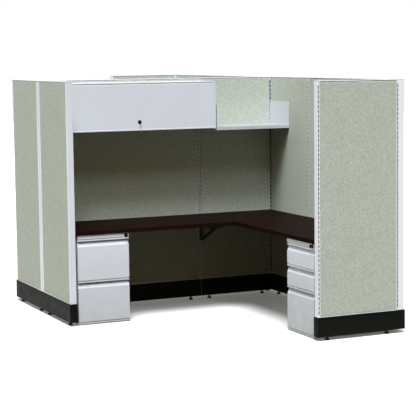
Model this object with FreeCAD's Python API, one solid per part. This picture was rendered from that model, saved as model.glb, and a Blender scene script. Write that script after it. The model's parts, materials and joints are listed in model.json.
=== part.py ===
import FreeCAD, Part
import math
import os

Vec = FreeCAD.Vector

# All sizes are in millimetres. Z is up, the floor is Z = 0, Y = 0 is the middle of the spine
# wall, and X = 0 is halfway between the two side walls. The furnished bay lies at minus Y.

# Walls
wall_height = 1702.0
wall_thick = 44.0
narrow_panel = 610.0
wide_panel = 1219.0
joint_gap = 4.0
connector_recess = 1.0
trim_thick = 2.0
cap_height = 5.0
cap_over = 1.5
cap_bevel = 1.5
stile_strip = 14.5
tile_rebate = 9.0
tile_proud = 1.0
tile_play = 0.5
tile_round = 2.5
rail_above_base = 5.0
cap_reveal = 4.0

# Raceway along the floor
base_bottom = 27.0
base_top = 157.0
cover_thick = 6.0
cover_bevel = 4.0
cover_lip = 14.0
cover_play = 0.8

# Levelling glides under the panels
glide_inset = 76.0
glide_radius = 17.0
glide_foot = 13.0
glide_stem_radius = 6.3
glide_stem_sides = 6
round_sides = 20

# Slot columns of the stiles
slot_pitch = 25.4
slot_start_height = 177.0
slot_inset = 5.5
slot_width = 7.0
slot_height = 17.0
slot_lip = 2.5
slot_depth = 10.0
slot_drop = 6.0

# Hooks that hang in the slots
hook_thick = 3.0
hook_seat = 0.2
hook_height = 8.0
hook_nose = 3.5
hook_nose_drop = 5.0
hook_play = 0.4
wall_gap = 2.0

# Worksurfaces
desk_thick = 30.0
desk_depth = 605.0
desk_play = 3.0
band_thick = 3.0
band_round = 1.5
ledge_height = 633.0

# Cantilevers under the worksurfaces
arm_reach = 430.0
arm_height = 172.0
arm_nose = 34.0
arm_plate = 2.6
arm_flange = 34.0
arm_flange_thick = 3.0
arm_toe = 60.0
arm_window_share = 0.42
arm_slot_counts = (12, 16)

# Overhead cabinet
cabinet_depth = 318.0
cabinet_height = 350.0
cabinet_play = 2.0
cabinet_slot_counts = (13, 7, 1)
cabinet_hook_rise = 14.4
end_thick = 12.0
top_thick = 7.0
floor_thick = 16.0
back_thick = 1.6
floor_skin = 1.6
floor_hem = 8.0
door_thick = 18.0
door_play = 0.8
door_top_play = 0.8
door_skin = 1.8
door_rim = 22.0
door_lip_height = 10.0
door_lip_proud = 2.0
door_slot_play = 1.0
carrier_length = 40.0
carrier_height = 14.0
carrier_depth = 7.0
carrier_lead = 6.0
carrier_play = 0.5
pin_radius = 3.0
pin_play = 0.2
pin_engage = 12.0
door_travel = 245.0

# Open shelf beside the cabinet
shelf_depth = 316.0
shelf_end_height = 198.0
shelf_end_thick = 3.0
shelf_end_round = 12.0
shelf_pan_thick = 2.5
shelf_lip = 24.0
shelf_lip_hem = 6.0
shelf_lift = 3.0
shelf_play = 0.3
shelf_slot_counts = (13, 8)
shelf_hook_rise = 29.4
shelf_back_lip = 14.0

# Pedestals
pedestal_width = 381.0
pedestal_depth = 575.0
foot_height = 5.0
foot_radius = 12.0
foot_inset = 40.0
sheet = 1.6
front_thick = 20.0
front_play = 0.5
front_gap = 1.5
pull_gap = 12.0
pull_height = 24.0
pull_depth = 13.0
pull_crest = 2.0
front_skin = 2.0
front_rim = 18.0
lip_height = 12.0
lip_round = 2.5
crease_depth = 3.0
crease_width = 3.0
rail_height = 44.0
box_row_count = 4
rail_web = 6.0
left_side_gap = 19.0
pedestal_set_back = 7.0
return_side_gap = 30.0

# Drawer boxes and their telescopic slides
box_sheet = 1.2
box_back_room = 33.4
slide_overlap = 40.0
box_headroom = 42.0
file_headroom = 44.0
box_drop = 12.0
box_hem = 5.0
slide_wall = 1.5
slide_play = 0.5
slide_height = 45.0
slide_space = 12.7
slide_set = 3.0
slide_outer_reach = 9.0
slide_middle_reach = 6.5
slide_rise = 40.0
follower_thick = 2.0
follower_place_share = 0.62
follower_height_share = 0.72

# Locks
lock_radius = 9.5
lock_play = 0.25
rosette_radius = 13.0
rosette_proud = 2.2
lock_from_side = 20.0
lock_from_top = 16.0
cam_thick = 2.0
cam_reach = 10.0
cam_width = 7.0
key_thick = 2.6
key_reach = 20.0
key_bow = 8.0
key_neck = 4.0
key_shoulder = 5.0
key_end = 3.4
cabinet_lock_rise = 64.0

# Places that follow from the sizes above
half_wall = wall_thick / 2
bay_run = wide_panel + joint_gap + narrow_panel
side_in = bay_run / 2
side_out = side_in + wall_thick
return_back = half_wall + bay_run
return_front = return_back + wall_thick
panel_top = wall_height - cap_height
tile_low = base_top + rail_above_base
tile_high = panel_top - cap_reveal
slot_count = int((panel_top - slot_start_height) / slot_pitch)
cabinet_slots = [slot_count - down for down in cabinet_slot_counts]
shelf_slots = [slot_count - down for down in shelf_slot_counts]
joint_left = -side_in + wide_panel
joint_right = joint_left + joint_gap
desk_back = -half_wall - desk_play
desk_front = desk_back - desk_depth
wing_front = side_in - desk_play - desk_depth
rail_low = ledge_height - rail_height
box_front = (rail_low - foot_height) / box_row_count - pull_gap
file_front = 2 * box_front + pull_gap
box_length = pedestal_depth - front_thick - sheet - box_back_room
slide_length = box_length
drawer_travel = slide_length - slide_overlap
parts_made = {}


def slot_z(index):
    return slot_start_height + index * slot_pitch


def block(x0, x1, y0, y1, z0, z1):
    low = Vec(min(x0, x1), min(y0, y1), min(z0, z1))
    return Part.makeBox(abs(x1 - x0), abs(y1 - y0), abs(z1 - z0), low)


def face_from(points):
    return Part.Face(Part.makePolygon(points + points[:1]))


def along_x(outline, x0, x1):
    """Prism along X from (y, z) points."""
    return face_from([Vec(x0, y, z) for y, z in outline]).extrude(Vec(x1 - x0, 0, 0))


def along_y(outline, y0, y1):
    """Prism along Y from (x, z) points."""
    return face_from([Vec(x, y0, z) for x, z in outline]).extrude(Vec(0, y1 - y0, 0))


def along_z(outline, z0, z1):
    """Prism along Z from (x, y) points."""
    return face_from([Vec(x, y, z0) for x, y in outline]).extrude(Vec(0, 0, z1 - z0))


def post(x, y, radius, sides, z0, z1):
    """Upright bar with many flat sides."""
    angles = [2 * math.pi * number / sides for number in range(sides)]
    return along_z([(x + radius * math.cos(a), y + radius * math.sin(a)) for a in angles], z0, z1)


def turned(shape, degrees, x, y):
    moved = shape.copy()
    moved.rotate(Vec(0, 0, 0), Vec(0, 0, 1), degrees)
    moved.translate(Vec(x, y, 0))
    return moved


def mirrored(shape):
    return shape.mirror(Vec(0, 0, 0), Vec(0, 1, 0))


def keep(name, *solids):
    parts_made[name] = solids[0] if len(solids) == 1 else Part.makeCompound(list(solids))


# Wall panels. A panel is made along X from 0, centred on Y = 0, and then placed.

def slot_cut(x, side, index):
    """One slot of a column: the mouth in the face and the pocket behind it, which runs lower."""
    z = slot_z(index)
    x0, x1 = x - slot_width / 2, x + slot_width / 2
    face, lip, floor = half_wall * side, (half_wall - slot_lip) * side, (half_wall - slot_depth) * side
    mouth = block(x0, x1, lip, face, z, z + slot_height)
    pocket = block(x0, x1, floor, lip, z - slot_drop, z + slot_height)
    return mouth.fuse(pocket)


def panel_frame(length, slots=()):
    """Board with steel edges, rebated on both faces for the fabric tiles. The rebates run up to
    the cap, so a reveal stays open between it and the tiles.
    slots lists (end, side, first index, last index) for the slot rows that carry brackets."""
    frame = block(0, length, -half_wall, half_wall, base_bottom, panel_top)
    for side in (-1, 1):
        floor, face = (half_wall - tile_rebate) * side, half_wall * side
        frame = frame.cut(block(stile_strip, length - stile_strip, floor, face, tile_low, panel_top))
    for end, side, first, last in slots:
        x = slot_inset if end == "start" else length - slot_inset
        frame = frame.cut(Part.makeCompound([slot_cut(x, side, i) for i in range(first, last + 1)]))
    return frame


def tile(length, side):
    """Fabric-covered tile in its rebate, with its outer edges eased."""
    x0, x1 = stile_strip + tile_play, length - stile_strip - tile_play
    z0, z1 = tile_low + tile_play, tile_high - tile_play
    back, face = half_wall - tile_rebate, half_wall + tile_proud
    outline = [(x0, back), (x1, back), (x1, face - tile_round), (x1 - tile_round, face),
               (x0 + tile_round, face), (x0, face - tile_round)]
    body = along_z([(x, y * side) for x, y in outline], z0, z1)
    wedge = [(face, z0), (face, z0 + tile_round), (face - tile_round, z0)]
    crest = [(face, z1), (face, z1 - tile_round), (face - tile_round, z1)]
    cuts = [along_x([(y * side, z) for y, z in edge], x0, x1) for edge in (wedge, crest)]
    return body.cut(Part.makeCompound(cuts))


def base_cover(length, side):
    """Raceway cover on one face: a plate with a bevelled top edge and a drip line under it."""
    face, out = half_wall, half_wall + cover_thick
    outline = [(face, base_bottom), (out, base_bottom), (out, base_top - cover_lip - cover_play),
               (out - cover_play, base_top - cover_lip - cover_play),
               (out - cover_play, base_top - cover_lip), (out, base_top - cover_lip),
               (out, base_top - cover_bevel), (out - cover_bevel, base_top), (face, base_top)]
    return along_x([(y * side, z) for y, z in outline], cover_play, length - cover_play)


def glide(x):
    """Levelling foot: a hexagonal stem standing on a round pad."""
    pad = post(x, 0, glide_radius, round_sides, 0, glide_foot)
    return pad.fuse(post(x, 0, glide_stem_radius, glide_stem_sides, glide_foot, base_bottom))


def cap_run(length):
    half, foot = half_wall + cap_over, panel_top
    outline = [(-half, foot), (half, foot), (half, wall_height - cap_bevel),
               (half - cap_bevel, wall_height), (cap_bevel - half, wall_height),
               (-half, wall_height - cap_bevel)]
    return along_x(outline, 0, length)


arm_rows = (min(arm_slot_counts) - 1, max(arm_slot_counts) + 1)
cabinet_rows = (min(cabinet_slots) - 1, max(cabinet_slots) + 1)
shelf_rows = (min(shelf_slots) - 1, max(shelf_slots) + 1)

# wall, name, length, turn, place, slot rows. Side -1 is the panel's face at minus Y before it turns.
side_x = side_in + half_wall
return_x = side_in - narrow_panel
narrow_y, wide_y = half_wall + narrow_panel, half_wall + narrow_panel + joint_gap + wide_panel
panels = [
    ("left_wall", "left_wall_front_panel", narrow_panel, 90, -side_x, -narrow_y, ()),
    ("left_wall", "left_wall_rear_panel", narrow_panel, 90, -side_x, half_wall, ()),
    ("spine", "spine_wide_panel", wide_panel, 0, -side_in, 0,
     (("start", -1) + cabinet_rows, ("end", -1) + cabinet_rows, ("end", -1) + arm_rows)),
    ("spine", "spine_narrow_panel", narrow_panel, 0, joint_right, 0,
     (("start", -1) + shelf_rows, ("end", -1) + shelf_rows, ("end", -1) + arm_rows)),
    ("right_wall", "right_wall_front_narrow_panel", narrow_panel, 90, side_x, -narrow_y,
     (("start", 1) + arm_rows,)),
    ("right_wall", "right_wall_front_wide_panel", wide_panel, 90, side_x, -wide_y, ()),
    ("right_wall", "right_wall_rear_narrow_panel", narrow_panel, 90, side_x, half_wall, ()),
    ("right_wall", "right_wall_rear_wide_panel", wide_panel, 90, side_x, narrow_y + joint_gap, ()),
    ("return", "front_return_panel", narrow_panel, 0, return_x, -return_back - half_wall, ()),
    ("return", "rear_return_panel", narrow_panel, 0, return_x, return_back + half_wall, ()),
]


def make_panels():
    tiles, covers, glides = {}, {}, []
    corner = cover_thick + cover_play
    corners = [block(side_in * way, (side_in - corner) * way, -return_back, return_back,
                     base_bottom, base_top) for way in (-1, 1)]
    for wall, name, length, turn, x, y, slots in panels:
        keep(name, turned(panel_frame(length, slots), turn, x, y))
        for side in (-1, 1):
            tiles.setdefault(wall, []).append(turned(tile(length, side), turn, x, y))
            cover = turned(base_cover(length, side), turn, x, y)
            if wall in ("spine", "return"):
                cover = cover.cut(Part.makeCompound(corners))
            covers.setdefault(wall, []).append(cover)
        for place in (glide_inset, length - glide_inset):
            glides.append(turned(glide(place), turn, x, y))
    for wall, solids in tiles.items():
        keep(wall + "_fabric_tiles", *solids)
    for wall, solids in covers.items():
        keep(wall + "_base_covers", *solids)
    keep("panel_glides", *glides)


def make_trim():
    """Caps, posts, end trims and the black corner pieces of the raceway."""
    left_end = half_wall + narrow_panel + trim_thick
    return_end = side_in - narrow_panel - trim_thick
    keep("left_wall_top_cap", turned(cap_run(2 * left_end), 90, -side_x, -left_end))
    keep("right_wall_top_cap", turned(cap_run(2 * return_front), 90, side_x, -return_front))
    inner = side_in - cap_over
    keep("spine_top_cap", turned(cap_run(2 * inner), 0, -inner, 0))
    caps = [turned(cap_run(inner - return_end), 0, return_end, y)
            for y in (-return_back - half_wall, return_back + half_wall)]
    keep("return_top_caps", *caps)

    tees = [block(x - half_wall, x + half_wall, -half_wall, half_wall, base_bottom, panel_top)
            for x in (-side_x, side_x)]
    keep("tee_posts", *tees)
    corner = block(side_in, side_out, -return_front, -return_back, base_bottom, panel_top)
    keep("corner_posts", corner, mirrored(corner))

    gaps = [block(joint_left, joint_right, connector_recess - half_wall,
                  half_wall - connector_recess, base_bottom, panel_top),
            block(side_in + connector_recess, side_out - connector_recess, -narrow_y - joint_gap, -narrow_y,
                  base_bottom, panel_top)]
    keep("panel_connectors", *gaps, mirrored(gaps[1]))

    left_trim = block(-side_out, -side_in, -left_end, -narrow_y, base_top, panel_top)
    return_trim = block(return_end, side_in - narrow_panel, -return_front, -return_back,
                        base_top, panel_top)
    keep("end_trims", left_trim, mirrored(left_trim), return_trim, mirrored(return_trim))

    out = side_out + cover_thick
    left_cap = block(-out, -side_in + cover_thick, -left_end - cover_thick, -narrow_y, base_bottom, base_top)
    return_cap = block(return_end - cover_thick, side_in - narrow_panel,
                       -return_front - cover_thick, -return_back + cover_thick, base_bottom, base_top)
    front_corner = block(side_in, out, -return_front - cover_thick, -return_back, base_bottom, base_top)
    front_corner = front_corner.cut(corner)
    tee_plates = [block(x, x + cover_thick, -half_wall, half_wall, base_bottom, base_top)
                  for x in (-out, side_out)]
    pieces = [left_cap, mirrored(left_cap), return_cap, mirrored(return_cap),
              front_corner, mirrored(front_corner)]
    keep("base_corner_covers", *pieces, *tee_plates)


# Brackets. A hook is made along X at x = 0, on a wall face at Y = 0 with the wall at plus Y.

def hook(index):
    z = slot_z(index) + hook_seat
    half = hook_thick / 2
    neck_back = slot_lip + hook_play
    outline = [(-wall_gap, z), (neck_back, z), (neck_back, z - hook_nose_drop),
               (neck_back + hook_nose, z - hook_nose_drop), (neck_back + hook_nose, z + hook_height),
               (-wall_gap, z + hook_height)]
    return along_x(outline, -half, half)


def cantilever(flange_side):
    """Tapered arm with a flange on top and two hooks. flange_side is the way the flange points."""
    half, top = arm_plate / 2, ledge_height
    back, nose = -wall_gap, -arm_reach
    outline = [(back, top), (nose, top), (nose, top - arm_nose), (nose + arm_toe, top - arm_nose),
               (back - arm_toe, top - arm_height), (back, top - arm_height)]
    plate = along_x(outline, -half, half)
    span = arm_reach - 2 * arm_toe
    slope = (arm_height - arm_nose) / span
    run = span * arm_window_share
    hole_top = top - arm_nose
    hole_back = back - arm_toe
    hole = [(hole_back, hole_top), (hole_back - run, hole_top),
            (hole_back - run, top - arm_height + arm_nose + run * slope),
            (hole_back, top - arm_height + arm_nose)]
    plate = plate.cut(along_x(hole, -half, half))
    flange = block(-half, arm_flange - half, back, nose, top - arm_flange_thick, top)
    if flange_side < 0:
        flange = block(half, half - arm_flange, back, nose, top - arm_flange_thick, top)
    arm = plate.fuse(flange)
    for index in arm_slot_counts:
        arm = arm.fuse(hook(index))
    return arm.removeSplitter()


def make_worksurfaces():
    top, under = ledge_height + desk_thick, ledge_height
    left, right = -side_in + desk_play, side_in - desk_play
    keep("main_worksurface", block(left, right, desk_front + band_thick, desk_back, under, top))
    wing_near = -return_back + desk_play
    keep("wing_worksurface", block(wing_front + band_thick, right, wing_near, desk_front, under, top))
    face = desk_front
    outline = [(face + band_thick, under), (face + band_round, under), (face, under + band_round),
               (face, top - band_round), (face + band_round, top), (face + band_thick, top)]
    main_band = along_x(outline, left, wing_front + band_thick)
    tail = block(wing_front + band_thick, right, desk_front, desk_front + band_thick, under, top)
    shift = wing_front - desk_front
    wing_band = along_y([(y + shift, z) for y, z in outline], wing_near, desk_front)
    keep("worksurface_edge_bands", main_band.fuse(tail), wing_band)
    arms = [turned(cantilever(-1), 0, joint_left - slot_inset, -half_wall),
            turned(cantilever(-1), 0, side_in - slot_inset, -half_wall),
            turned(cantilever(-1), -90, side_in, -narrow_y + slot_inset)]
    keep("worksurface_cantilevers", *arms)


# Overhead cabinet with a door that swings up and slides back in grooves of the end panels

cabinet_left = -side_in + cabinet_play
cabinet_right = joint_left - cabinet_play
cabinet_low = slot_z(cabinet_slots[0]) - cabinet_hook_rise
cabinet_top = cabinet_low + cabinet_height
cabinet_back = -half_wall - wall_gap
cabinet_front = cabinet_back - cabinet_depth
door_axis_y = cabinet_front + door_thick / 2
door_axis_z = cabinet_top - top_thick - door_top_play - door_thick / 2
door_left = cabinet_left + end_thick + door_play
door_right = cabinet_right - end_thick - door_play
door_low = cabinet_low + door_play


def make_cabinet():
    inner_left, inner_right = cabinet_left + end_thick, cabinet_right - end_thick
    shell = block(cabinet_left, cabinet_right, cabinet_front, cabinet_back, cabinet_low, cabinet_top)
    shell = shell.cut(block(inner_left, inner_right, cabinet_front, cabinet_back - back_thick,
                            cabinet_low + floor_thick, cabinet_top - top_thick))
    front_of_floor = cabinet_front + door_thick + door_slot_play
    shell = shell.cut(block(inner_left, inner_right, cabinet_front, front_of_floor,
                            cabinet_low, cabinet_low + floor_thick))
    shell = shell.cut(block(inner_left + floor_hem, inner_right - floor_hem, front_of_floor + floor_hem,
                            cabinet_back - floor_hem, cabinet_low,
                            cabinet_low + floor_thick - floor_skin))
    groove_front = door_axis_y - carrier_lead - carrier_play
    groove_back = door_axis_y + door_travel + carrier_length - carrier_lead + carrier_play
    groove_half = carrier_height / 2 + carrier_play
    groove_deep = carrier_depth + carrier_play
    for inner, way in ((inner_left, -1), (inner_right, 1)):
        shell = shell.cut(block(inner, inner + way * groove_deep, groove_front, groove_back,
                                door_axis_z - groove_half, door_axis_z + groove_half))
    for x in (-side_in + slot_inset, joint_left - slot_inset):
        for index in cabinet_slots:
            shell = shell.fuse(turned(hook(index), 0, x, -half_wall))
    keep("cabinet_shell", shell.removeSplitter())

    carriers = []
    for inner, way in ((inner_left, -1), (inner_right, 1)):
        start = door_axis_y - carrier_lead
        slider = block(inner, inner + way * carrier_depth, start, start + carrier_length,
                       door_axis_z - carrier_height / 2, door_axis_z + carrier_height / 2)
        pin_length = carrier_depth / 2 + door_play + pin_engage
        pin = Part.makeCylinder(pin_radius, pin_length,
                                Vec(inner + way * carrier_depth / 2, door_axis_y, door_axis_z),
                                Vec(-way, 0, 0))
        carriers.append(slider.fuse(pin))
    keep("cabinet_door_carriers", *carriers)
    make_door()


def make_door():
    """Folded steel door: a rounded top edge, a flat face, and a lip at the bottom to lift it by."""
    front, back = cabinet_front, cabinet_front + door_thick
    lip = door_low + door_lip_height
    radius = door_thick / 2
    crown = Part.Arc(Vec(0, front, door_axis_z), Vec(0, door_axis_y, door_axis_z + radius),
                     Vec(0, back, door_axis_z)).toShape()
    points = [Vec(0, back, door_axis_z), Vec(0, back, door_low), Vec(0, front + lip_round, door_low),
              Vec(0, front - door_lip_proud, door_low + lip_round), Vec(0, front - door_lip_proud, lip),
              Vec(0, front, lip + door_lip_proud), Vec(0, front, door_axis_z)]
    outline = Part.Wire([crown] + [Part.makeLine(a, b) for a, b in zip(points, points[1:])])
    door = Part.Face(outline).extrude(Vec(door_right - door_left, 0, 0))
    door.translate(Vec(door_left, 0, 0))
    hollow = block(door_left + door_rim, door_right - door_rim, front + door_skin, back,
                   door_low + door_rim, door_axis_z - door_rim)
    door = door.cut(hollow)
    for x, way in ((door_left, 1), (door_right, -1)):
        door = door.cut(Part.makeCylinder(pin_radius + pin_play, pin_engage + pin_play,
                                          Vec(x, door_axis_y, door_axis_z), Vec(way, 0, 0)))
    place = Vec((cabinet_left + cabinet_right) / 2, front, cabinet_low + cabinet_lock_rise)
    door = door.cut(Part.makeCylinder(lock_radius + lock_play, door_thick, place, Vec(0, 1, 0)))
    keep("cabinet_door", door)
    lock = cam_lock(door_skin)
    lock.translate(place)
    keep("cabinet_door_lock", lock)


def cam_lock(panel):
    """Cylinder lock seen along Y, its face at Y = 0, with the cam behind and the key in it."""
    barrel_back = panel + lock_play
    barrel = Part.makeCylinder(lock_radius, rosette_proud + barrel_back + cam_thick,
                               Vec(0, -rosette_proud, 0), Vec(0, 1, 0))
    rosette = Part.makeCylinder(rosette_radius, rosette_proud - lock_play,
                                Vec(0, -rosette_proud, 0), Vec(0, 1, 0))
    half = cam_width / 2
    cam = block(-half, half, barrel_back, barrel_back + cam_thick, 0, cam_reach)
    root = -rosette_proud
    tip = root - key_reach
    outline = [(root, -key_neck), (root - key_shoulder, -key_bow), (tip + key_end, -key_bow),
               (tip, -key_neck), (tip, key_neck), (tip + key_end, key_bow),
               (root - key_shoulder, key_bow), (root, key_neck)]
    key = along_x(outline, -key_thick / 2, key_thick / 2)
    return barrel.fuse(rosette).fuse(cam).fuse(key).removeSplitter()


def make_shelf():
    """Pan shelf between two upright ends, hung on the narrow panel of the spine."""
    low = slot_z(shelf_slots[0]) - shelf_hook_rise
    high = low + shelf_end_height
    back = -half_wall - wall_gap
    front = back - shelf_depth
    half = shelf_end_thick / 2
    centres = (joint_right + slot_inset, side_in - slot_inset)
    ends = []
    for x in centres:
        outline = [(back, low), (back, high), (front + shelf_end_round, high),
                   (front, high - shelf_end_round), (front, low)]
        plate = along_x(outline, x - half, x + half)
        for index in shelf_slots:
            plate = plate.fuse(turned(hook(index), 0, x, -half_wall))
        ends.append(plate.removeSplitter())
    keep("shelf_ends", *ends)
    x0, x1 = centres[0] + half + shelf_play, centres[1] - half - shelf_play
    top = low + shelf_lip
    under = top - shelf_pan_thick
    thick = shelf_pan_thick
    outline = [(back, top), (front, top), (front, low), (front + shelf_lip_hem, low),
               (front + shelf_lip_hem, low + thick), (front + thick, low + thick),
               (front + thick, under), (back - thick, under), (back - thick, top - shelf_back_lip),
               (back, top - shelf_back_lip)]
    keep("shelf_pan", along_x(outline, x0, x1))


# Pedestals. Each is made facing minus Y with its front left corner at the origin, then placed.

lock_x, lock_z = pedestal_width - lock_from_side, ledge_height - lock_from_top


def lip_outline(low):
    crease = low + lip_height
    return [(lip_round, low), (0, low + lip_round), (0, crease), (crease_depth, crease),
            (crease_depth, crease + crease_width), (0, crease + crease_width)]


def front_outline(low, height):
    """Section of a drawer front: a lip at the foot under a crease, a flat face, and a bevel to pull by."""
    high = low + height
    return [(front_thick, low)] + lip_outline(low) + [
        (0, high - pull_height), (pull_depth, high - pull_crest), (pull_depth + pull_crest, high),
        (front_thick, high)]


def slide_member(side, wall_x, web_x, reach, height, z, back_web):
    """One C-shaped member of a slide. side is 1 on the left wall and -1 on the right."""
    half, t = height / 2, slide_wall
    if back_web:
        outline = [(web_x, z - half), (reach, z - half), (reach, z - half + t), (web_x + t, z - half + t),
                   (web_x + t, z + half - t), (reach, z + half - t), (reach, z + half), (web_x, z + half)]
    else:
        outline = [(reach, z - half), (web_x, z - half), (web_x, z - half + t), (reach - t, z - half + t),
                   (reach - t, z + half - t), (web_x, z + half - t), (web_x, z + half), (reach, z + half)]
    start = front_thick + slide_set
    return along_y([(wall_x + side * x, height_z) for x, height_z in outline], start, start + slide_length)


def slide_members(z):
    """The three members of both slides at height z: outer, middle and inner."""
    middle_height = slide_height - 2 * (slide_wall + slide_play)
    inner_height = middle_height - 2 * (slide_wall + slide_play)
    middle_web = slide_wall + slide_play
    inner_web = middle_web + slide_wall + slide_play
    middle_reach = middle_web + slide_middle_reach
    outer, middle, inner = [], [], []
    for side, wall_x in ((1, sheet), (-1, pedestal_width - sheet)):
        outer.append(slide_member(side, wall_x, 0, slide_outer_reach, slide_height, z, True))
        middle.append(slide_member(side, wall_x, middle_web, middle_reach, middle_height, z, True))
        inner.append(slide_member(side, wall_x, inner_web, slide_space, inner_height, z, False))
    return outer, middle, inner


def drawer_front(low, height):
    """Folded front, hollow behind, that the box is screwed to."""
    front = along_x(front_outline(low, height), front_play, pedestal_width - front_play)
    return front.cut(block(front_rim, pedestal_width - front_rim, crease_depth + front_skin, front_thick,
                           low + front_rim, low + height - pull_height - front_rim))


def drawer_box(kind, low):
    """Open box with hemmed sides. A file drawer has a follower plate that holds the files up."""
    height = box_front - box_headroom if kind == "box" else file_front - file_headroom
    left, right = sheet + slide_space, pedestal_width - sheet - slide_space
    inner_left, inner_right = left + box_sheet, right - box_sheet
    inner_front, inner_back = front_thick + box_sheet, front_thick + box_length - box_sheet
    box = block(left, right, front_thick, front_thick + box_length, low, low + height)
    box = box.cut(block(inner_left, inner_right, inner_front, inner_back, low + box_sheet, low + height))
    hem_low, hem_high = low + height - box_sheet, low + height
    box = box.fuse(block(inner_left, inner_left + box_hem, inner_front, inner_back, hem_low, hem_high))
    box = box.fuse(block(inner_right, inner_right - box_hem, inner_front, inner_back, hem_low, hem_high))
    if kind == "file":
        place = front_thick + box_length * follower_place_share
        box = box.fuse(block(inner_left, inner_right, place, place + follower_thick,
                             low + box_sheet, low + height * follower_height_share))
    return box


def pedestal_case():
    """Sheet case with the rail over the drawers that carries the lock."""
    case_front = front_thick + front_gap
    case = block(0, pedestal_width, case_front, pedestal_depth, foot_height, ledge_height)
    case = case.cut(block(sheet, pedestal_width - sheet, case_front, pedestal_depth - sheet,
                          foot_height + sheet, ledge_height - sheet))
    back = front_thick + rail_web
    rail = [(back, rail_low)] + lip_outline(rail_low) + [(0, ledge_height), (back, ledge_height)]
    case = case.fuse(along_x(rail, front_play, pedestal_width - front_play)).removeSplitter()
    return case.cut(Part.makeCylinder(lock_radius + lock_play, back, Vec(lock_x, 0, lock_z), Vec(0, 1, 0)))


def make_pedestals():
    left_x = -side_in + left_side_gap
    right_y = -return_back + return_side_gap + pedestal_width
    units = [("left", ("file", "file"), 0, left_x, desk_front + pedestal_set_back),
             ("right", ("box", "box", "file"), -90, wing_front + pedestal_set_back, right_y)]
    rails, feet = [], []
    for side, kinds, turn, x, y in units:
        keep(f"{side}_pedestal_case", turned(pedestal_case(), turn, x, y))
        lock = cam_lock(front_thick + rail_web)
        lock.translate(Vec(lock_x, 0, lock_z))
        keep(f"{side}_pedestal_lock", turned(lock, turn, x, y))
        for foot_x in (foot_inset, pedestal_width - foot_inset):
            for foot_y in (foot_inset, pedestal_depth - foot_inset):
                foot = post(foot_x, foot_y, foot_radius, round_sides, 0, foot_height)
                feet.append(turned(foot, turn, x, y))
        top = rail_low
        for number, kind in enumerate(kinds, 1):
            name = f"{side}_drawer_{number}"
            height = box_front if kind == "box" else file_front
            low = top - pull_gap - height
            outer, middle, inner = slide_members(low + box_drop + slide_rise)
            box = drawer_box(kind, low + box_drop)
            for member in inner:
                box = box.fuse(member)
            keep(name + "_front", turned(drawer_front(low, height), turn, x, y))
            keep(name + "_box", turned(box.removeSplitter(), turn, x, y))
            keep(name + "_slide_middles", *[turned(member, turn, x, y) for member in middle])
            rails += [turned(member, turn, x, y) for member in outer]
            top = low
    keep("pedestal_slide_rails", *rails)
    keep("pedestal_feet", *feet)


make_panels()
make_trim()
make_worksurfaces()
make_cabinet()
make_shelf()
make_pedestals()

os.makedirs("parts", exist_ok=True)
for name, shape in parts_made.items():
    if not shape.isValid():
        raise ValueError(name + " is not a valid shape")
    shape.exportStep(f"parts/{name}.step")
print(len(parts_made), "nodes,", sum(len(s.Solids) for s in parts_made.values()), "solids")
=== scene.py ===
import json
import math

import bmesh
import bpy
from mathutils import Matrix, Vector


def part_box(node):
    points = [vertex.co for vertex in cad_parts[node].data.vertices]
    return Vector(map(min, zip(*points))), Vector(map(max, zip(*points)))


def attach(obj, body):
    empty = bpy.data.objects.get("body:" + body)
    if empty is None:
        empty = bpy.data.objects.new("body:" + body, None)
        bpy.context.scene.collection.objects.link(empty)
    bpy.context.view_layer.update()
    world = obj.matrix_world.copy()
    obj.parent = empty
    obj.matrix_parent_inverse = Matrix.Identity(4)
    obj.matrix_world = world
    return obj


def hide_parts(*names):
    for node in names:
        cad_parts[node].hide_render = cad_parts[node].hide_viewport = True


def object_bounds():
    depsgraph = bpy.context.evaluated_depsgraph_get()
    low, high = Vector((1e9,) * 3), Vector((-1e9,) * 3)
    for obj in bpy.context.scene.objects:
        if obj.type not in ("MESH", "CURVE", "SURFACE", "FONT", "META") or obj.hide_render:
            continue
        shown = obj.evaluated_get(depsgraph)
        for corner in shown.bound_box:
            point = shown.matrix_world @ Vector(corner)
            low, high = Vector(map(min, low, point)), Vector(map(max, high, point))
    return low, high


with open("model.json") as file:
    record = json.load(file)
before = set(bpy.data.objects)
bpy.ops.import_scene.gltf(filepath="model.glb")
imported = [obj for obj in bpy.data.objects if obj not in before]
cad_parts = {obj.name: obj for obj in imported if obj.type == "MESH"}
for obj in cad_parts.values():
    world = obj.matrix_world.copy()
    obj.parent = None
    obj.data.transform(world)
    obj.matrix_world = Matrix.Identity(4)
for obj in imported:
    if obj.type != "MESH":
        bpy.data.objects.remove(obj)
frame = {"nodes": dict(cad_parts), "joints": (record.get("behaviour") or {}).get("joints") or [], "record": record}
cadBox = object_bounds()
mm = 0.001
workstation = "workstation"  # the root body
print("frame loaded")


# A look's sizes are floats in mm and its counts are whole numbers
def inMetres(look):
    return {label: value * mm if isinstance(value, float) else value
            for label, value in look.items()}


# A link or a plain value goes into the socket
def plug(tree, socket, value):
    if isinstance(value, bpy.types.NodeSocket):
        tree.links.new(value, socket)
    else:
        socket.default_value = value


def putNode(tree, kind, inputs=None, **settings):
    node = tree.nodes.new(kind)
    for name, value in settings.items():
        setattr(node, name, value)
    for socket, value in (inputs or {}).items():
        plug(tree, node.inputs[socket], value)
    return node


def calc(tree, operation, *values):
    node = tree.nodes.new("ShaderNodeMath")
    node.operation = operation
    for socket, value in zip(node.inputs, values):
        plug(tree, socket, value)
    return node.outputs[0]


def blendColour(tree, share, first, second):
    node = tree.nodes.new("ShaderNodeMix")
    node.data_type = "RGBA"
    plug(tree, node.inputs[0], share)
    for socket, value in ((node.inputs[6], first), (node.inputs[7], second)):
        plug(tree, socket, (*value, 1) if isinstance(value, tuple) else value)
    return node.outputs[2]


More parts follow.
